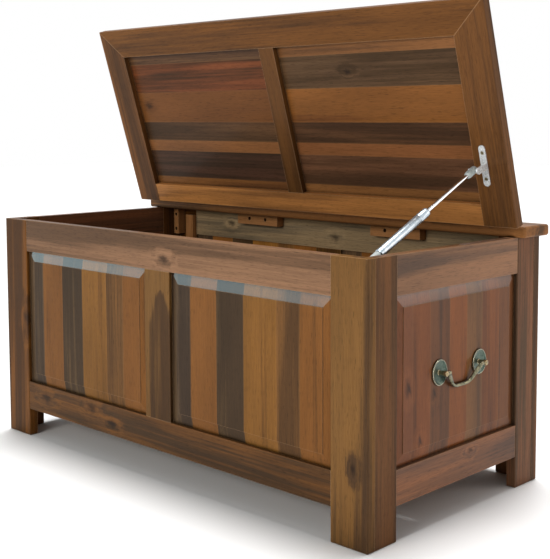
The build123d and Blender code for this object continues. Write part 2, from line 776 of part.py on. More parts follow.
with BuildPart() as handle_nuts:
    for wall in (left_wall, right_wall):
        with BuildSketch(wall.offset(nut_face)):
            with Locations(*handle_bolts):
                RegularPolygon(nut_r, 6)
                Circle(stud_bolt_r + pin_play, mode=Mode.SUBTRACT)
        extrude(amount=-nut_t)
save(handle_nuts, "handle_nuts")


# ---------------------------------------------------------------- screws
def screws(places, name):
    """Countersunk wood screws, one at each place, heads flush with the place's plane."""
    taper_h = screw_head_r - screw_r
    with BuildPart(*places) as group:
        Cone(screw_r, screw_head_r, taper_h, align=(Align.CENTER, Align.CENTER, Align.MAX))
        Cylinder(screw_r, screw_length, align=(Align.CENTER, Align.CENTER, Align.MAX))
    save(group, name)


screws(cleat_screws + corner_screws + board_leaf_screws + foot_screw_places, "body_screws")
screws(lid_leaf_screws + lobe_screws, "lid_screws")
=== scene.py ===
import json
import math

import bmesh
import bpy
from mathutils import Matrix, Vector


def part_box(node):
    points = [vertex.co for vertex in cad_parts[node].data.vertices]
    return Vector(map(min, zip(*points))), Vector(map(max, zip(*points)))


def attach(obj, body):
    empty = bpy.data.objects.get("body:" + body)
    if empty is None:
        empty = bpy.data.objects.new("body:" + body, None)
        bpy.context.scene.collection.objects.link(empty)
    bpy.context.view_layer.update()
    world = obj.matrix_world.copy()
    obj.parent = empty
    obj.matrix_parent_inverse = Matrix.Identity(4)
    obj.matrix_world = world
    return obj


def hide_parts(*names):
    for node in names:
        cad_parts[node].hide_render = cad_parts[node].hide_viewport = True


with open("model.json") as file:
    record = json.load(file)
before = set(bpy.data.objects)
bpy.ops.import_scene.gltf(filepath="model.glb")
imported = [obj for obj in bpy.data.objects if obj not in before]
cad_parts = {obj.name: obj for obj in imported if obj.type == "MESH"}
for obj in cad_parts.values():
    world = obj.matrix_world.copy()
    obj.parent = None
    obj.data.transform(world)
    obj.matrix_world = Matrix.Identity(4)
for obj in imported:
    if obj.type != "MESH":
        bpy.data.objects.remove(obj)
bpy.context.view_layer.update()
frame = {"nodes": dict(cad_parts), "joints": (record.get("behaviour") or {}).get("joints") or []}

mm = 0.001
scene = bpy.context.scene

# ---- Camera, floor and studio light
# The chest stands on a seamless white studio floor under soft light. A long narrow lamp stands low
# in front, which only the sloping top edge of each raised panel faces, so that it shines pale there.
scene.view_settings.view_transform = "Standard"

lens = bpy.data.cameras.new("camera")
lens.lens = 69.5
lens.sensor_width = 36
lens.shift_x = -0.100
lens.shift_y = -0.130
camera = bpy.data.objects.new("camera", lens)
camera.location = (1.5273, -1.4411, 0.6536)
look_down, look_left = 4.56, 42.47  # degrees
camera.rotation_euler = (math.radians(90 - look_down), 0, math.radians(look_left))
scene.collection.objects.link(camera)
scene.camera = camera


def colour(code):
    """A linear colour from an sRGB hex code."""
    parts = [int(code[i : i + 2], 16) / 255 for i in (1, 3, 5)]
    return (*[p / 12.92 if p <= 0.04045 else ((p + 0.055) / 1.055) ** 2.4 for p in parts], 1)


def node(tree, kind, links=None, **settings):
    """Add a node with its settings, and set or link each named input."""
    made = tree.nodes.new("ShaderNode" + kind)
    for key, value in settings.items():
        setattr(made, key, value)
    for key, value in (links or {}).items():
        if isinstance(value, bpy.types.NodeSocket):
            tree.links.new(value, made.inputs[key])
        else:
            made.inputs[key].default_value = value
    return made


def lamp(name, place, target, size, watts, tint):
    """A soft rectangular lamp turned to face its target."""
    data = bpy.data.lights.new(name, "AREA")
    data.shape = "RECTANGLE"
    data.size, data.size_y = size
    data.energy = watts
    data.color = colour(tint)[:3]
    made = bpy.data.objects.new(name, data)
    made.location = place
    made.rotation_euler = (Vector(target) - Vector(place)).to_track_quat("-Z", "Y").to_euler()
    made.visible_camera = False
    scene.collection.objects.link(made)


lamp("front_fill", (0.3, -2.9, 1.25), (0, 0.2, 0.42), (1.8, 0.9), 34, "#fffdf8")
lamp("low_front", (-2.1, -1.95, 0.52), (-0.05, -0.24, 0.375), (2.4, 0.34), 6, "#a8e0ee")
lamp("right_rear", (2.6, 1.9, 1.2), (0.5, 0, 0.4), (1.6, 1.6), 14, "#ffeee4")

# a broad soft light from behind and above throws the shadow forward
sun = bpy.data.lights.new("skylight", "SUN")
sun.energy = 3.3
sun.angle = math.radians(24)
skylight = bpy.data.objects.new("skylight", sun)
skylight.rotation_euler = Vector((0.10, -0.17, -1.0)).to_track_quat("-Z", "Y").to_euler()
scene.collection.objects.link(skylight)

world = bpy.data.worlds.new("studio")
world.use_nodes = True
scene.world = world
sky = world.node_tree
sky.nodes.clear()
ray = node(sky, "LightPath")
seen = node(sky, "Background", {"Color": (1, 1, 1, 1), "Strength": 1.0})
lit = node(sky, "Background", {"Color": (1, 1, 1, 1), "Strength": 0.24})
# the eye and the metals see a white studio, which lights the chest itself only weakly
bright = node(
    sky,
    "Math",
    {0: ray.outputs["Is Camera Ray"], 1: ray.outputs["Is Glossy Ray"]},
    operation="MAXIMUM",
)
both = node(sky, "MixShader", {0: bright.outputs[0], 1: lit.outputs[0], 2: seen.outputs[0]})
node(sky, "OutputWorld", {"Surface": both.outputs[0]})


def finish_material(name, links):
    """A new material with one Principled surface, its inputs to be filled in by the maker."""
    made = bpy.data.materials.new(name)
    made.use_nodes = True
    made.node_tree.nodes.clear()
    shader = node(made.node_tree, "BsdfPrincipled", links)
    node(made.node_tree, "OutputMaterial", {"Surface": shader.outputs[0]})
    return made, made.node_tree, shader


def dress(piece, material):
    """Give a piece its one material."""
    piece.data.materials.clear()
    piece.data.materials.append(material)


# matt white board: a faint mottle stops it looking like a flat fill
floor_material, tree, shader = finish_material("matt_white_floor_board", {"Roughness": 0.9})
place = node(tree, "TexCoord")
mottle = node(tree, "TexNoise", {"Vector": place.outputs["Object"], "Scale": 3.0, "Detail": 3.0})
tone = node(tree, "ValToRGB", {"Fac": mottle.outputs["Fac"]})
tone.color_ramp.elements[0].color = colour("#f6f6f6")
tone.color_ramp.elements[1].color = colour("#fcfcfc")
tree.links.new(tone.outputs["Color"], shader.inputs["Base Color"])

mesh = bpy.data.meshes.new("floor")
shape = bmesh.new()
bmesh.ops.create_grid(shape, x_segments=2, y_segments=2, size=12)
shape.to_mesh(mesh)
shape.free()
studio_floor = bpy.data.objects.new("studio_floor", mesh)
studio_floor.location = (0, 0, -0.0005)
scene.collection.objects.link(studio_floor)
dress(studio_floor, floor_material)

# ---- Legs
# Each leg is two acacia boards butted at right angles, the edges eased by hand and the feet
# chamfered. The grain runs up each board. The whole chest is oiled and polished to a satin.
joints = {joint["name"]: joint for joint in frame["joints"]}
hinge_at = Vector(joints["lid_hinge"]["pos_m"])
open_tilt = math.radians(joints["lid_hinge"]["range_deg"][1])
axis_number = {"X": 0, "Y": 1, "Z": 2}


def grey(level):
    """A plain value carried as a colour."""
    return (level, level, level, 1)


def stretched(tree, at, grain, along, across):
    """Coordinates drawn out along the grain: one cycle is along by across, in mm."""
    scale = [1 / (across * mm)] * 3
    scale[axis_number[grain]] = 1 / (along * mm)
    return node(tree, "Mapping", {"Vector": at, "Scale": scale}).outputs[0]


def banded(tree, where, staves, levels):
    """One level per stave, stepping at the glue lines."""
    ramp = node(tree, "ValToRGB", {"Fac": where})
    ramp.color_ramp.interpolation = "CONSTANT"
    total = sum(stave[0] for stave in staves)
    edge = 0.0
    for number, (stave, level) in enumerate(zip(staves, levels)):
        if number < 2:
            # a new ramp already has two stops
            stop = ramp.color_ramp.elements[number]
            stop.position = edge / total
        else:
            stop = ramp.color_ramp.elements.new(edge / total)
        stop.color = level
        edge += stave[0]
    return ramp.outputs["Color"]


def glue_lines(tree, where, staves, half_width=1.2):
    """1 on the lines where staves meet, falling to 0 within half_width mm."""
    ramp = node(tree, "ValToRGB", {"Fac": where})
    stops = ramp.color_ramp.elements
    stops[0].position, stops[0].color = 0.0, grey(0)
    stops[1].position, stops[1].color = 1.0, grey(0)
    total, edge = sum(stave[0] for stave in staves), 0
    for stave in staves[:-1]:
        edge += stave[0]
        for shift, level in ((-half_width, 0), (0, 1), (half_width, 0)):
            stops.new((edge + shift) / total).color = grey(level)
    return ramp.outputs["Color"]


def knot(tree, at, grain, middle, radius):
    """A ragged knot, long in the grain: how far it swings the rings, and how dark its heart is."""
    size = [radius * mm] * 3
    size[axis_number[grain]] = 1.7 * radius * mm
    local = node(
        tree, "Mapping", {"Vector": at, "Location": middle, "Scale": size}, vector_type="TEXTURE"
    ).outputs[0]
    away = node(tree, "VectorMath", {0: local}, operation="LENGTH").outputs["Value"]
    ragged = node(tree, "TexNoise", {"Vector": local, "Scale": 1.1, "Detail": 3.0}).outputs["Fac"]
    away = node(tree, "Math", {0: ragged, 1: 1.6, 2: away}, operation="MULTIPLY_ADD").outputs[0]
    away = node(tree, "Math", {0: away, 1: -0.8}, operation="ADD").outputs[0]
    swing = node(
        tree,
        "MapRange",
        {"Value": away, "From Min": 0.0, "From Max": 3.4, "To Min": 1.0, "To Max": 0.0},
        interpolation_type="SMOOTHSTEP",
    ).outputs[0]
    heart = node(
        tree,
        "MapRange",
        {"Value": away, "From Min": 0.1, "From Max": 1.35, "To Min": 0.75, "To Max": 0.0},
        interpolation_type="SMOOTHSTEP",
    ).outputs[0]
    return swing, heart


def arch(tree, at, grain, tip, half_width, share):
    """A pointed arch of heartwood that opens down the board from its tip: share of dark inside it."""
    local = node(tree, "Mapping", {"Vector": at, "Location": tip}, vector_type="TEXTURE").outputs[0]
    parts = node(tree, "SeparateXYZ", {0: local})
    # the arch reaches its full width about 67 mm below its tip
    below = node(
        tree, "Math", {0: parts.outputs[axis_number[grain]], 1: -15.0}, operation="MULTIPLY"
    ).outputs[0]
    below = node(tree, "Math", {0: below, 1: 0.0}, operation="MAXIMUM").outputs[0]
    half = node(tree, "Math", {0: below, 1: 0.5}, operation="POWER").outputs[0]
    half = node(tree, "Math", {0: half, 1: 1.0}, operation="MINIMUM").outputs[0]
    feather = node(
        tree,
        "TexNoise",
        {"Vector": stretched(tree, at, grain, 167, 6.25), "Scale": 1.0, "Detail": 3.0},
    ).outputs["Fac"]
    half = node(tree, "Math", {0: feather, 1: 0.7, 2: half}, operation="MULTIPLY_ADD").outputs[0]
    sideways = parts.outputs[0 if grain == "Z" else 2]
    out = node(tree, "Math", {0: sideways, 1: 1 / (half_width * mm)}, operation="MULTIPLY").outputs[0]
    out = node(tree, "Math", {0: out}, operation="ABSOLUTE").outputs[0]
    within = node(tree, "Math", {0: half, 1: out}, operation="SUBTRACT").outputs[0]
    return node(
        tree,
        "MapRange",
        {"Value": within, "From Min": 0.15, "From Max": 0.60, "To Min": 0.0, "To Max": share},
        interpolation_type="SMOOTHSTEP",
    ).outputs[0]


def arris(tree, radius):
    """1 on a flat face, and less within radius mm of an edge."""
    rounded = node(tree, "Bevel", {"Radius": radius * mm}, samples=4).outputs[0]
    flat = node(tree, "NewGeometry").outputs["Normal"]
    return node(tree, "VectorMath", {0: rounded, 1: flat}, operation="DOT_PRODUCT").outputs["Value"]


def acacia(name, grain, staves, seed, across="X", start=0.0, knots=(), on_lid=False, sheen=0.06,
           moulded=False, arches=(), raw_inside=None):
    """Oiled acacia: gold sapwood beside brown heartwood, with dark streaks and a thin satin polish.

    grain is the axis that the fibres follow. Each stave is (width in mm, light wood, dark figure,
    share of dark). Several staves are glued along the across axis, the first one from start, in
    metres. A knot is (place, radius in mm), and an arch is (tip, half its width in mm). The last
    argument is painted light: how much brighter, in red, green and blue, the face that looks forward
    is painted, in place of the light that falls on it.
    """
    made, tree, shader = finish_material(
        name,
        {"IOR": 1.5, "Coat Roughness": 0.12, "Specular IOR Level": 0.05, "Coat Weight": sheen},
    )
    if moulded:
        # the polish pools on the bevel that faces upward, which is glossier than the rest
        facing = node(tree, "SeparateXYZ", {0: node(tree, "NewGeometry").outputs["Normal"]})
        pooled = node(
            tree,
            "MapRange",
            {
                "Value": facing.outputs[2], "From Min": 0.07, "From Max": 0.12,
                "To Min": sheen, "To Max": 1.0,
            },
        ).outputs[0]
        tree.links.new(pooled, shader.inputs["Coat Weight"])
    at = node(tree, "TexCoord").outputs["Object"]
    if on_lid:
        # the lid stands open, so its wood is read in the lid's own frame
        at = node(
            tree,
            "Mapping",
            {"Vector": at, "Location": hinge_at, "Rotation": (-open_tilt, 0, 0)},
            vector_type="TEXTURE",
        ).outputs[0]

    # the year rings swing round each knot
    swirl = float(seed)
    hearts = []
    for middle, radius in knots:
        swing, heart = knot(tree, at, grain, middle, radius)
        swirl = node(tree, "Math", {0: swing, 1: 1.1, 2: swirl}, operation="MULTIPLY_ADD").outputs[0]
        hearts.append(heart)

    # each stave has its own two colours, and its figure doesn't run on into the next
    glue = None
    if len(staves) > 1:
        parts = node(tree, "SeparateXYZ", {0: at})
        end = start + sum(stave[0] for stave in staves) * mm
        where = node(
            tree,
            "MapRange",
            {"Value": parts.outputs[axis_number[across]], "From Min": start, "From Max": end},
        ).outputs[0]
        light = banded(tree, where, staves, [colour(stave[1]) for stave in staves])
        dark = banded(tree, where, staves, [colour(stave[2]) for stave in staves])
        share = banded(tree, where, staves, [grey(stave[3]) for stave in staves])
        glue = glue_lines(tree, where, staves)
        turns = [grey((number * 0.37) % 1.0) for number in range(len(staves))]
        turn = banded(tree, where, staves, turns)
        swirl = node(tree, "Math", {0: turn, 1: 9.0, 2: swirl}, operation="MULTIPLY_ADD").outputs[0]
    else:
        light, dark, share = colour(staves[0][1]), colour(staves[0][2]), staves[0][3]
    for tip, half_width in arches:
        share = arch(tree, at, grain, tip, half_width, share)

    # heartwood figure about 36 mm wide, streaks 5 mm wide, and fibres drawn at 1 mm, which is
    # coarser than real ones, because those are too fine to show
    broad = node(
        tree,
        "TexNoise",
        {
            "Vector": stretched(tree, at, grain, 588, 35.7), "W": swirl,
            "Scale": 1.0, "Detail": 3.0, "Distortion": 0.5,
        },
        noise_dimensions="4D",
    ).outputs["Fac"]
    streak = node(
        tree,
        "TexNoise",
        {"Vector": stretched(tree, at, grain, 286, 5), "W": swirl, "Scale": 1.0, "Detail": 3.0},
        noise_dimensions="4D",
    ).outputs["Fac"]
    fibre = node(
        tree,
        "TexNoise",
        {"Vector": stretched(tree, at, grain, 45.5, 1), "Scale": 1.0, "Detail": 2.0},
    ).outputs["Fac"]
    pore = node(
        tree,
        "TexNoise",
        {"Vector": stretched(tree, at, grain, 14.3, 2 / 3), "Scale": 1.0, "Detail": 0.0},
    ).outputs["Fac"]

    mixed = node(tree, "Math", {0: streak, 1: 0.45, 2: broad}, operation="MULTIPLY_ADD").outputs[0]
    # share 0 leaves the stave all light and 1 makes it all dark
    level = node(tree, "Math", {0: share, 1: 0.5, 2: mixed}, operation="MULTIPLY_ADD").outputs[0]
    figure = node(
        tree,
        "MapRange",
        {"Value": level, "From Min": 0.83, "From Max": 1.12},
        interpolation_type="SMOOTHSTEP",
    ).outputs[0]
    wood = node(tree, "Mix", {0: figure, 6: light, 7: dark}, data_type="RGBA").outputs[2]

    # fibres and open pores darken it finely, and the tone drifts over patches about 70 mm wide
    grainy = node(
        tree,
        "MapRange",
        {"Value": fibre, "From Min": 0.3, "From Max": 0.7, "To Min": 0.84, "To Max": 1.12},
    ).outputs[0]
    open_pore = node(
        tree,
        "MapRange",
        {"Value": pore, "From Min": 0.66, "From Max": 0.74, "To Min": 1.0, "To Max": 0.62},
    ).outputs[0]
    drift = node(
        tree,
        "TexNoise",
        {"Vector": stretched(tree, at, grain, 357, 71.4), "W": swirl, "Scale": 1.0, "Detail": 2.0},
        noise_dimensions="4D",
    ).outputs["Fac"]
    drift = node(
        tree,
        "MapRange",
        {"Value": drift, "From Min": 0.3, "From Max": 0.7, "To Min": 0.80, "To Max": 1.20},
    ).outputs[0]
    shade = node(tree, "Math", {0: grainy, 1: open_pore}, operation="MULTIPLY").outputs[0]
    shade = node(tree, "Math", {0: shade, 1: drift}, operation="MULTIPLY").outputs[0]
    wood = node(tree, "VectorMath", {0: wood, 3: shade}, operation="SCALE").outputs[0]
    if glue is not None:
        line = node(tree, "Math", {0: glue, 1: 0.16}, operation="MULTIPLY").outputs[0]
        wood = node(tree, "Mix", {0: line, 6: wood, 7: colour("#a87c50")}, data_type="RGBA").outputs[2]
    if hearts:
        # the heart of a knot is nearly black
        darkest = hearts[0]
        for heart in hearts[1:]:
            darkest = node(tree, "Math", {0: darkest, 1: heart}, operation="MAXIMUM").outputs[0]
        wood = node(
            tree, "Mix", {0: darkest, 6: wood, 7: colour("#20150d")}, data_type="RGBA"
        ).outputs[2]

    if raw_inside:
        # painted light: the face that looks forward, into the chest, is painted brighter in place of
        # the light that falls on it
        facing = node(tree, "SeparateXYZ", {0: node(tree, "NewGeometry").outputs["Normal"]})
        inner = node(
            tree, "MapRange", {"Value": facing.outputs[1], "From Min": -0.4, "From Max": -0.6}
        ).outputs[0]
        brightened_wood = node(tree, "VectorMath", {0: wood, 1: raw_inside}, operation="MULTIPLY").outputs[0]
        wood = node(tree, "Mix", {0: inner, 6: wood, 7: brightened_wood}, data_type="RGBA").outputs[2]

    # painted shade: ambient occlusion darkens the wood in creases, recesses and where pieces meet
    crease_shade = node(tree, "AmbientOcclusion", {"Distance": 10 * mm}, samples=6).outputs["AO"]
    crease_shade = node(
        tree,
        "MapRange",
        {"Value": crease_shade, "From Min": 0.40, "From Max": 0.85, "To Min": 0.30, "To Max": 1.0},
    ).outputs[0]
    wood = node(tree, "VectorMath", {0: wood, 3: crease_shade}, operation="SCALE").outputs[0]

    # the arrises are paler, partly where the oil is rubbed thin and partly as a painted highlight
    # where edges catch the light, though less so on a moulded panel
    arris_wear_and_highlight = node(
        tree,
        "MapRange",
        {
            "Value": arris(tree, 1.6), "From Min": 0.985, "From Max": 0.88,
            "To Min": 0.0, "To Max": 0.28 if moulded else 0.60,
        },
    ).outputs[0]
    wood = node(tree, "Mix", {0: arris_wear_and_highlight, 6: wood, 7: colour("#c09a74")}, data_type="RGBA").outputs[2]
    tree.links.new(wood, shader.inputs["Base Color"])

    rough = node(
        tree,
        "MapRange",
        {"Value": fibre, "From Min": 0.3, "From Max": 0.7, "To Min": 0.38, "To Max": 0.56},
    ).outputs[0]
    tree.links.new(rough, shader.inputs["Roughness"])
    height = node(tree, "Math", {0: open_pore, 1: 0.6, 2: fibre}, operation="MULTIPLY_ADD").outputs[0]
    bump = node(tree, "Bump", {"Height": height, "Strength": 0.25, "Distance": 0.15 * mm})
    tree.links.new(bump.outputs[0], shader.inputs["Normal"])
    return made


def plank(piece, grain, light, dark, share, seed, knots=(), **finish):
    """Give a CAD board its own acacia, so that no two boards are alike."""
    staves = [(1, light, dark, share)]
    dress(
        frame["nodes"][piece],
        acacia(f"oiled_acacia_{piece}", grain, staves, seed, knots=knots, **finish),
    )


legs = (
    ("leg_front_left_face", "#73471c", "#472c13", 0.62, 11, [((-0.428, -0.2375, 0.245), 14)]),
    ("leg_front_left_return", "#6c4420", "#432b18", 0.5, 12, ()),
    ("leg_front_right_face", "#75522a", "#4a3420", 0.45, 13, [((0.470, -0.2375, 0.125), 7)]),
    ("leg_front_right_return", "#714b2c", "#4c3623", 0.5, 14, ()),
    ("leg_rear_right_return", "#80563c", "#54402f", 0.5, 15, ()),
    ("leg_rear_right_face", "#744c2e", "#49321f", 0.5, 16, ()),
    ("leg_rear_left_return", "#6c4420", "#432b18", 0.5, 17, ()),
    ("leg_rear_left_face", "#73471c", "#472c13", 0.5, 18, ()),
)
for piece, light, dark, share, seed, knots in legs:
    plank(piece, "Z", light, dark, share, seed, knots)

# ---- Rails and middle stiles
# The rails run between the legs, tongued into them, with the grain lengthwise. The middle stile
# stands between the two rails of the front and rear. Knots were left in the bottom rail.
rail_front = -0.2365  # the front rails' outer face, in metres
rail_inside = 0.2195  # the rear rail's inner face
front_top_knots = [((0.02, rail_front, 0.408), 9)]
front_bottom_knots = [
    ((-0.362, rail_front, 0.090), 11),
    ((-0.205, rail_front, 0.098), 10),
    ((-0.140, rail_front, 0.078), 8),
]
rear_top_knots = [((-0.300, rail_inside, 0.420), 8), ((0.02, rail_inside, 0.410), 8)]
stile_arch = [((0.010, rail_front, 0.352), 33)]
rails = (
    ("front_top_rail", "X", "#87644a", "#614733", 0.48, 21, front_top_knots),
    ("front_bottom_rail", "X", "#6c4520", "#3f2d1c", 0.60, 22, front_bottom_knots),
    ("front_stile", "Z", "#6f4e28", "#49321c", 0.80, 23, ()),
    ("rear_top_rail", "X", "#7f5833", "#5a4027", 0.40, 24, rear_top_knots),
    ("rear_bottom_rail", "X", "#744a22", "#453220", 0.50, 25, ()),
    ("rear_stile", "Z", "#714e24", "#48311c", 0.55, 26, ()),
    ("right_top_rail", "Y", "#8c6344", "#5f4634", 0.40, 27, ()),
    ("right_bottom_rail", "Y", "#8c5a38", "#5f4230", 0.40, 28, [((0.4995, 0.03, 0.100), 6)]),
    ("left_top_rail", "Y", "#7c4f34", "#543a2a", 0.45, 29, ()),
    ("left_bottom_rail", "Y", "#7c5236", "#543a2a", 0.45, 30, ()),
)
for piece, grain, light, dark, share, seed, knots in rails:
    plank(
        piece, grain, light, dark, share, seed, knots,
        # the side rails took more polish than the long ones
        sheen=0.30 if grain == "Y" else 0.06,
        arches=stile_arch if piece == "front_stile" else (),
        # painted light: the rear top rail's face that looks forward is painted brighter and bluer
        raw_inside=(1.9, 2.9, 4.6) if piece == "rear_top_rail" else None,
    )

# ---- Raised panels
# Each panel is glued up from upright staves of acacia, sapwood beside heartwood, then moulded with
# a long bevel and a small step, and left loose in its grooves.
front_staves = (
    (60, "#55422e", "#3c2e22", 0.60),
    (68, "#744a22", "#5c3a1c", 0.16),
    (68, "#5f492e", "#3f2f1f", 0.72),
    (78, "#7a5224", "#5c3c1c", 0.16),
    (52, "#704c27", "#4e351d", 0.55),
    (67, "#794d23", "#5b3b1c", 0.14),
)
side_staves = (
    (50, "#764628", "#56351f", 0.25),
    (46, "#7d4824", "#5c371f", 0.22),
    (52, "#6e4528", "#4e3423", 0.38),
    (48, "#7f4922", "#5f381d", 0.20),
    (44, "#714c2b", "#503724", 0.35),
    (50, "#7c4823", "#5c371f", 0.22),
    (52, "#6e4324", "#4f3320", 0.35),
)
front_and_rear = ("front_panel_left", "front_panel_right", "rear_panel_left", "rear_panel_right")
for number, piece in enumerate(front_and_rear):
    low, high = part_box(piece)
    # painted light: the faces of the rear panels that look forward are painted brighter
    material = acacia(
        f"oiled_acacia_{piece}", "Z", front_staves, 40 + number, "X", low.x, moulded=True,
        raw_inside=(2.1, 2.1, 2.1) if "rear" in piece else None,
    )
    dress(frame["nodes"][piece], material)

side_face = 0.496  # the raised field of a side panel, in metres from the middle of the chest
for number, (piece, outward) in enumerate((("right_panel", 1), ("left_panel", -1))):
    low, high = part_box(piece)
    knots = [
        ((outward * side_face, -0.135, 0.235), 8),
        ((outward * side_face, -0.068, 0.215), 7),
        ((outward * side_face, -0.105, 0.145), 6),
    ]
    material = acacia(
        f"oiled_acacia_{piece}", "Z", side_staves, 50 + number, "Y", low.y, knots,
        sheen=0.25, moulded=True,
    )
    dress(frame["nodes"][piece], material)

# ---- Fixed rear board and the blocks under it
# One wide board closes the top at the rear and carries the hinges, with well rounded edges. Paler
# offcuts are glued and screwed into the corners below it.
plank("rear_top_board", "X", "#8a5c34", "#563d28", 0.42, 61)
blocks = (
    ("rear_cleat_left", "X"), ("rear_cleat_right", "X"),
    ("corner_block_left", "Z"), ("corner_block_right", "Z"), ("rear_glue_blocks", "Z"),
)
for seed, (piece, grain) in enumerate(blocks):
    plank(piece, grain, "#a97649", "#85592f", 0.25, 70 + seed, sheen=0.1)

# ---- Floor
# Three loose boards lie on three bearers, sanded but not oiled.
for seed, piece in enumerate(("floor_board_1", "floor_board_2", "floor_board_3")):
    plank(piece, "X", "#7f5b3b", "#5b422d", 0.4, 80 + seed, sheen=0.05)
for seed, piece in enumerate(("floor_bearer_left", "floor_bearer_middle", "floor_bearer_right")):
    plank(piece, "Y", "#7b583a", "#5b422d", 0.4, 85 + seed, sheen=0.05)

# ---- Lid
# A frame mitred at its front corners holds two panels of staves that run the length of the lid,
# dark heartwood between narrow strips of sapwood.
lid_frame = (
    ("lid_stile_left", "Y", "#724824", "#4e331d", 0.45, 91),
    ("lid_stile_right", "Y", "#6e4724", "#50351f", 0.45, 92),
    ("lid_front_rail", "X", "#704721", "#4e331c", 0.40, 93),
    ("lid_rear_rail", "X", "#bf8046", "#875a35", 0.35, 94),
    ("lid_muntin", "Y", "#634020", "#49301b", 0.40, 95),
)
for piece, grain, light, dark, share, seed in lid_frame:
    plank(piece, grain, light, dark, share, seed, on_lid=True)

lid_rows_left = (
    (33, "#6a4b30", "#4a3323", 0.50),
    (64, "#7a4426", "#432b19", 0.38),
    (67, "#6f4523", "#57351f", 0.14),
    (42, "#5c4029", "#44301f", 0.60),
    (25, "#8a5a34", "#6d4629", 0.15),
    (61, "#54392a", "#3c2b1e", 0.65),
    (23, "#86582f", "#6a4427", 0.15),
)
lid_rows_right = (
    (33, "#855833", "#65442a", 0.20),
    (64, "#634932", "#47331f", 0.55),
    (67, "#885629", "#6a4023", 0.14),
    (42, "#62432c", "#432e1f", 0.60),
    (25, "#8a5834", "#6c4429", 0.20),
    (61, "#6e4a33", "#4d3524", 0.60),
    (23, "#8d5f36", "#6c4629", 0.15),
)
row_start = -0.352  # where the first row begins in the lid's own frame, under the front rail
lid_panels = (
    ("lid_panel_left", lid_rows_left, 96, [((-0.420, -0.225, -0.011), 8)]),
    ("lid_panel_right", lid_rows_right, 97, [((0.190, -0.285, -0.011), 6)]),
)
for piece, rows, seed, knots in lid_panels:
    material = acacia(
        f"oiled_acacia_{piece}", "X", rows, seed, "Y", row_start, knots, on_lid=True
    )
    dress(frame["nodes"][piece], material)

# ---- Hinges
# Two butt hinges of antiqued brass lie on top, their leaves let on with countersunk screws, and
# a plain steel pin through each.


def worn_and_highlit_metal(name, deep, face, bright, roughness, metallic=1.0, edge_wear_and_highlight=0.5, patch=3.85):
    """Metal mottled in patches of so many mm, and paler on every edge: partly rubbed wear, partly a
    painted highlight.
    """
    made, tree, shader = finish_material(name, {"Metallic": metallic})
    at = node(tree, "TexCoord").outputs["Object"]
    mottle = node(
        tree, "TexNoise", {"Vector": at, "Scale": 1 / (patch * mm), "Detail": 4.0}
    ).outputs["Fac"]
    fine = node(
        tree, "TexNoise", {"Vector": at, "Scale": 7 / (patch * mm), "Detail": 2.0}
    ).outputs["Fac"]
    spread = node(
        tree, "MapRange", {"Value": mottle, "From Min": 0.35, "From Max": 0.65}
    ).outputs[0]
    skin = node(
        tree, "Mix", {0: spread, 6: colour(deep), 7: colour(face)}, data_type="RGBA"
    ).outputs[2]
    # painted highlight: every edge within 1 mm is mixed toward the bright colour, which also stands
    # for rubbed wear
    edge = node(
        tree,
        "MapRange",
        {"Value": arris(tree, 1.0), "From Min": 0.99, "From Max": 0.86, "To Min": 0.0, "To Max": edge_wear_and_highlight},
    ).outputs[0]
    skin = node(tree, "Mix", {0: edge, 6: skin, 7: colour(bright)}, data_type="RGBA").outputs[2]
    tree.links.new(skin, shader.inputs["Base Color"])
    rough = node(
        tree,
        "MapRange",
        {
            "Value": fine, "From Min": 0.3, "From Max": 0.7,
            "To Min": roughness - 0.07, "To Max": roughness + 0.1,
        },
    ).outputs[0]
    tree.links.new(rough, shader.inputs["Roughness"])
    bump = node(tree, "Bump", {"Height": fine, "Strength": 0.2, "Distance": 0.05 * mm})
    tree.links.new(bump.outputs[0], shader.inputs["Normal"])
    return made


# antiqued brass: green-brown in the hollows, warm and bright on the edges, partly wear and partly a
# painted highlight
antique_brass = worn_and_highlit_metal("antiqued_brass", "#39413a", "#6f6f5c", "#efdcb4", 0.26, 0.85, 1.0)
for piece in (
    "hinge_left_board_leaf", "hinge_right_board_leaf", "hinge_left_lid_leaf", "hinge_right_lid_leaf"
):
    dress(frame["nodes"][piece], antique_brass)
# yellow zinc plate on steel: a dull warm grey
zinc_screw = worn_and_highlit_metal("yellow_zinc_plated_steel", "#8d8468", "#b3a988", "#e2dac0", 0.35)
for piece in ("hinge_pins", "body_screws", "lid_screws", "handle_nuts"):
    dress(frame["nodes"][piece], zinc_screw)

# ---- Gas strut
# A lacquered steel tube with a rolled collar, a ground and chromed rod, a moulded end that snaps
# over a ball, and bright plated brackets screwed to the lid and to the leg.


def finished(name, shape):
    """Finish a new mesh: normals outward, smooth faces, an object in the scene."""
    bmesh.ops.recalc_face_normals(shape, faces=shape.faces)
    mesh = bpy.data.meshes.new(name)
    shape.to_mesh(mesh)
    shape.free()
    for face in mesh.polygons:
        face.use_smooth = True
    made = bpy.data.objects.new(name, mesh)
    scene.collection.objects.link(made)
    return made


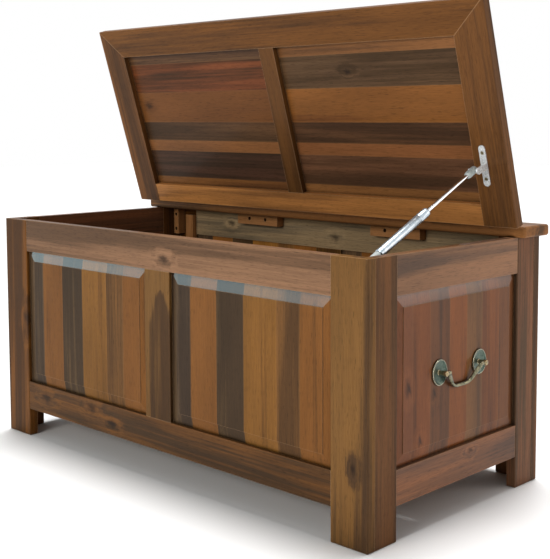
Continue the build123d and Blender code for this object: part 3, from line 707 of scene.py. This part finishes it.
def spun(name, profile, centre, axis, side, oval=1.0, steps=48):
    """A turned shape: profile is (radius, height) in mm up the axis, stretched along side if oval."""
    axis, side = Vector(axis).normalized(), Vector(side).normalized()
    third = axis.cross(side)
    shape = bmesh.new()
    rings = []
    for radius, height in profile:
        base = Vector(centre) + axis * height * mm
        if radius == 0:
            rings.append([shape.verts.new(base)])
            continue
        rings.append(
            [
                shape.verts.new(
                    base
                    + (side * math.cos(a) * oval + third * math.sin(a)) * radius * mm
                )
                for a in (2 * math.pi * step / steps for step in range(steps))
            ]
        )
    for low, high in zip(rings, rings[1:]):
        for step in range(steps):
            after = (step + 1) % steps
            if len(low) == 1:
                shape.faces.new((low[0], high[step], high[after]))
            elif len(high) == 1:
                shape.faces.new((low[step], high[0], low[after]))
            else:
                shape.faces.new((low[step], high[step], high[after], low[after]))
    made = finished(name, shape)
    # the turned corners stay crisp
    made.data.set_sharp_from_angle(angle=math.radians(38))
    return made


# silver lacquer: even and softly bright
silver_lacquer = worn_and_highlit_metal(
    "silver_lacquered_steel", "#a9b6c0", "#c3ced6", "#e6edf2", 0.28, 0.9, 0.3, patch=11.1
)
# ground and chromed steel: nearly a mirror
chromed_rod = worn_and_highlit_metal(
    "ground_chromed_steel", "#d2d8dc", "#e6eaec", "#ffffff", 0.14, 1.0, 0.2, patch=16.7
)
# bright zinc plate: almost white, with little contrast
bright_plate = worn_and_highlit_metal(
    "bright_zinc_plated_steel", "#e4e8ea", "#f4f6f6", "#ffffff", 0.25, 0.35, 0.3, patch=8.33
)
# moulded nylon: a dull, pale grey
grey_nylon = worn_and_highlit_metal(
    "moulded_grey_nylon", "#a0a8a6", "#bcc3c1", "#e0e5e3", 0.40, 0.0, 0.35, patch=3.33
)

strut_foot = Vector(joints["strut_swing"]["pos_m"])
strut_way = Vector(joints["strut_stroke"]["axis"]).normalized()


def reach_along(piece, origin, way):
    """How far a CAD node reaches along a line, lowest and highest, in mm."""
    steps = [(v.co - origin).dot(way) / mm for v in frame["nodes"][piece].data.vertices]
    return min(steps), max(steps)


tube_top = reach_along("strut_tube", strut_foot, strut_way)[1]
end_low, end_top = reach_along("strut_rod_end", strut_foot, strut_way)
ball_axis = Vector((1, 0, 0))

lower_end = spun(
    "strut_lower_end",
    [(0, -6), (5.3, -6), (6.5, -4.8), (6.5, 18), (5.6, 19.5), (0, 19.5)],
    strut_foot, strut_way, ball_axis,
)
dress(lower_end, grey_nylon)
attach(lower_end, "strut_body")

collar = tube_top - 26  # the rolled groove that holds the guide of the rod
tube = spun(
    "strut_tube_body",
    [
        (0, 20), (6.4, 20), (7.5, 21.2), (7.5, collar), (7.1, collar + 0.8), (7.1, collar + 2.4),
        (7.5, collar + 3.2), (7.5, tube_top - 3.2), (7.2, tube_top - 1.6), (6.2, tube_top - 0.5),
        (4.6, tube_top), (3.3, tube_top), (3.3, tube_top - 4), (0, tube_top - 4),
    ],
    strut_foot, strut_way, ball_axis,
)
dress(tube, silver_lacquer)
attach(tube, "strut_body")
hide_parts("strut_tube")

dress(frame["nodes"]["strut_rod"], chromed_rod)
# the moulded end has a short neck and a groove round it, and a chromed spring clip caps the ball
rod_end = spun(
    "strut_upper_end",
    [
        (0, end_low), (4.6, end_low), (5.6, end_low + 1), (5.6, end_low + 3), (6.3, end_low + 4),
        (6.5, end_low + 9), (5.8, end_low + 10.5), (6.3, end_low + 12), (6.5, end_top - 2),
        (5.4, end_top), (0, end_top),
    ],
    strut_foot, strut_way, ball_axis,
)
dress(rod_end, grey_nylon)
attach(rod_end, "strut_piston")
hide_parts("strut_rod_end")
ball_at = strut_foot + strut_way * (end_top - 6) * mm
cap = spun(
    "strut_ball_cap",
    [(0, 0), (5.4, 0), (5.4, 6.6), (4.9, 7.6), (3.6, 8.4), (1.8, 8.9), (0, 9.0)],
    ball_at, -ball_axis, strut_way,
)
dress(cap, chromed_rod)
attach(cap, "strut_piston")

dress(frame["nodes"]["strut_foot_bracket"], bright_plate)
dress(frame["nodes"]["strut_lid_bracket"], bright_plate)

# ---- Handles
# Each drop handle has two oval backplates with a raised rim, a turned post through each, and a
# forged bail that flattens to a leaf below the post and tapers to the grip.


# verdigris brass: grey-green on the dished plates, with a pale rim, partly rubbed and partly a painted
# highlight
verdigris_brass = worn_and_highlit_metal("verdigris_brass", "#33473f", "#5d6b5f", "#f2e3c4", 0.32, 0.7, 1.0)
# rubbed brass: warm and bright all over the posts
rubbed_brass = worn_and_highlit_metal("rubbed_brass", "#75694f", "#a89672", "#efdfba", 0.24, 0.9, 0.5)
# gripped brass: olive in the hollows of the bail, and pale on its edges, partly polished by hands and
# partly a painted highlight
gripped_brass = worn_and_highlit_metal("gripped_brass", "#4c4d3f", "#8c876c", "#efe0bc", 0.22, 0.95, 0.9)


def drawn(name, points, sizes, wide, steps=20):
    """A forged bar: oval sections of (half width, half thickness) in mm along points in metres."""
    shape = bmesh.new()
    rings = []
    for number, (point, (half_w, half_t)) in enumerate(zip(points, sizes)):
        before = points[max(number - 1, 0)]
        after = points[min(number + 1, len(points) - 1)]
        way = (after - before).normalized()
        # the broad side of the section lies in the plane of the bail, square to the bar
        sideways = way.cross(Vector(wide)).normalized()
        upward = Vector(wide).normalized()
        rings.append(
            [
                shape.verts.new(
                    point
                    + (sideways * math.cos(a) * half_w + upward * math.sin(a) * half_t) * mm
                )
                for a in (2 * math.pi * step / steps for step in range(steps))
            ]
        )
    for low, high in zip(rings, rings[1:]):
        for step in range(steps):
            after = (step + 1) % steps
            shape.faces.new((low[step], high[step], high[after], low[after]))
    shape.faces.new(rings[0])
    shape.faces.new(reversed(rings[-1]))
    return finished(name, shape)


bar = 3.6 * mm  # half the thickness of the bail
bend = 11 * mm  # how far each bend of the bail reaches along its two runs
eye_inset = 10.7 * mm  # from the end of a pin to the middle of the bail's eye
arm_lean = 24 * mm  # how far each arm comes in on its way down
post_inset = 1.5 * mm  # from the end of a pin to the middle of its post
plate_oval = 43 / 38  # height of a backplate to its width
eye_profile = [
    (0, -3.2), (2.9, -3.2), (3.6, -2.4), (3.6, 2.4), (2.9, 3.2), (2.0, 3.3), (2.0, 10.2), (0, 10.4),
]
plate_profile = [
    (0, 0.05), (17.4, 0.05), (18.6, 1.0), (19.0, 2.1), (18.7, 2.8), (18.0, 3.0), (17.2, 2.5),
    (15.5, 1.5), (11.0, 0.8), (6.5, 0.8), (0, 0.8),
]
post_profile = [
    (0, 0.5), (4.6, 0.7), (3.8, 1.4), (3.5, 3.5), (3.6, 5.5), (4.1, 8.0), (4.6, 10.5),
    (4.8, 15.5), (4.4, 17.0), (3.2, 17.8), (0, 18.0),
]
for name, outward in (("left", -1), ("right", 1)):
    pivot = Vector(joints[f"bail_{name}_swing"]["pos_m"])
    low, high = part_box(f"handle_{name}_bail")
    # the arms stand inside the pins' ends, and the grip lies below and nearer to the panel
    arm = high.y - eye_inset
    grip = arm - arm_lean
    fall = pivot.z - low.z - bar
    grip_x = (low.x + bar) if outward > 0 else (high.x - bar)
    front_eye, rear_eye = (Vector((pivot.x, end * arm, pivot.z)) for end in (-1, 1))
    front_bend, rear_bend = (Vector((grip_x, end * grip, pivot.z - fall)) for end in (-1, 1))
    down_arm = [step / 16 for step in range(10)]
    route = [front_eye.lerp(front_bend, t) for t in down_arm]
    for before, corner, after in (
        (front_eye, front_bend, rear_bend), (front_bend, rear_bend, rear_eye)
    ):
        start = corner + (before - corner).normalized() * bend
        end = corner + (after - corner).normalized() * bend
        for t in (0, 0.2, 0.4, 0.6, 0.8, 1):
            route.append(start.lerp(corner, t).lerp(corner.lerp(end, t), t))
    route += [rear_eye.lerp(rear_bend, t) for t in reversed(down_arm)]
    sizes = []
    for point in route:
        # the bar is flattened to a leaf three tenths of the way down each arm
        down = (pivot.z - point.z) / fall
        leaf = math.exp(-(((down - 0.30) / 0.24) ** 2))
        sizes.append((3.1 + 2.3 * leaf, 3.3 - 0.9 * leaf))
    bail = drawn(f"handle_{name}_grip", route, sizes, (1, 0, 0))
    dress(bail, gripped_brass)
    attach(bail, f"bail_{name}")
    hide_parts(f"handle_{name}_bail")
    for end in (-1, 1):
        eye = spun(
            f"handle_{name}_eye_{'front' if end < 0 else 'rear'}",
            eye_profile, (pivot.x, end * arm, pivot.z), (0, end, 0), (0, 0, 1),
        )
        dress(eye, gripped_brass)
        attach(eye, f"bail_{name}")

    for end in (-1, 1):
        which = "front" if end < 0 else "rear"
        on_panel = (outward * side_face, end * (high.y - post_inset), pivot.z)
        plate = spun(
            f"handle_{name}_backplate_{which}",
            plate_profile, on_panel, (outward, 0, 0), (0, 0, 1), plate_oval, 64,
        )
        dress(plate, verdigris_brass)
        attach(plate, "box")
        post = spun(
            f"handle_{name}_post_{which}",
            post_profile, on_panel, (outward, 0, 0), (0, 0, 1),
        )
        dress(post, rubbed_brass)
        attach(post, "box")
        if end < 0:
            # the front post stands for the whole set of mounts
            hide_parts(f"handle_{name}_mounts")
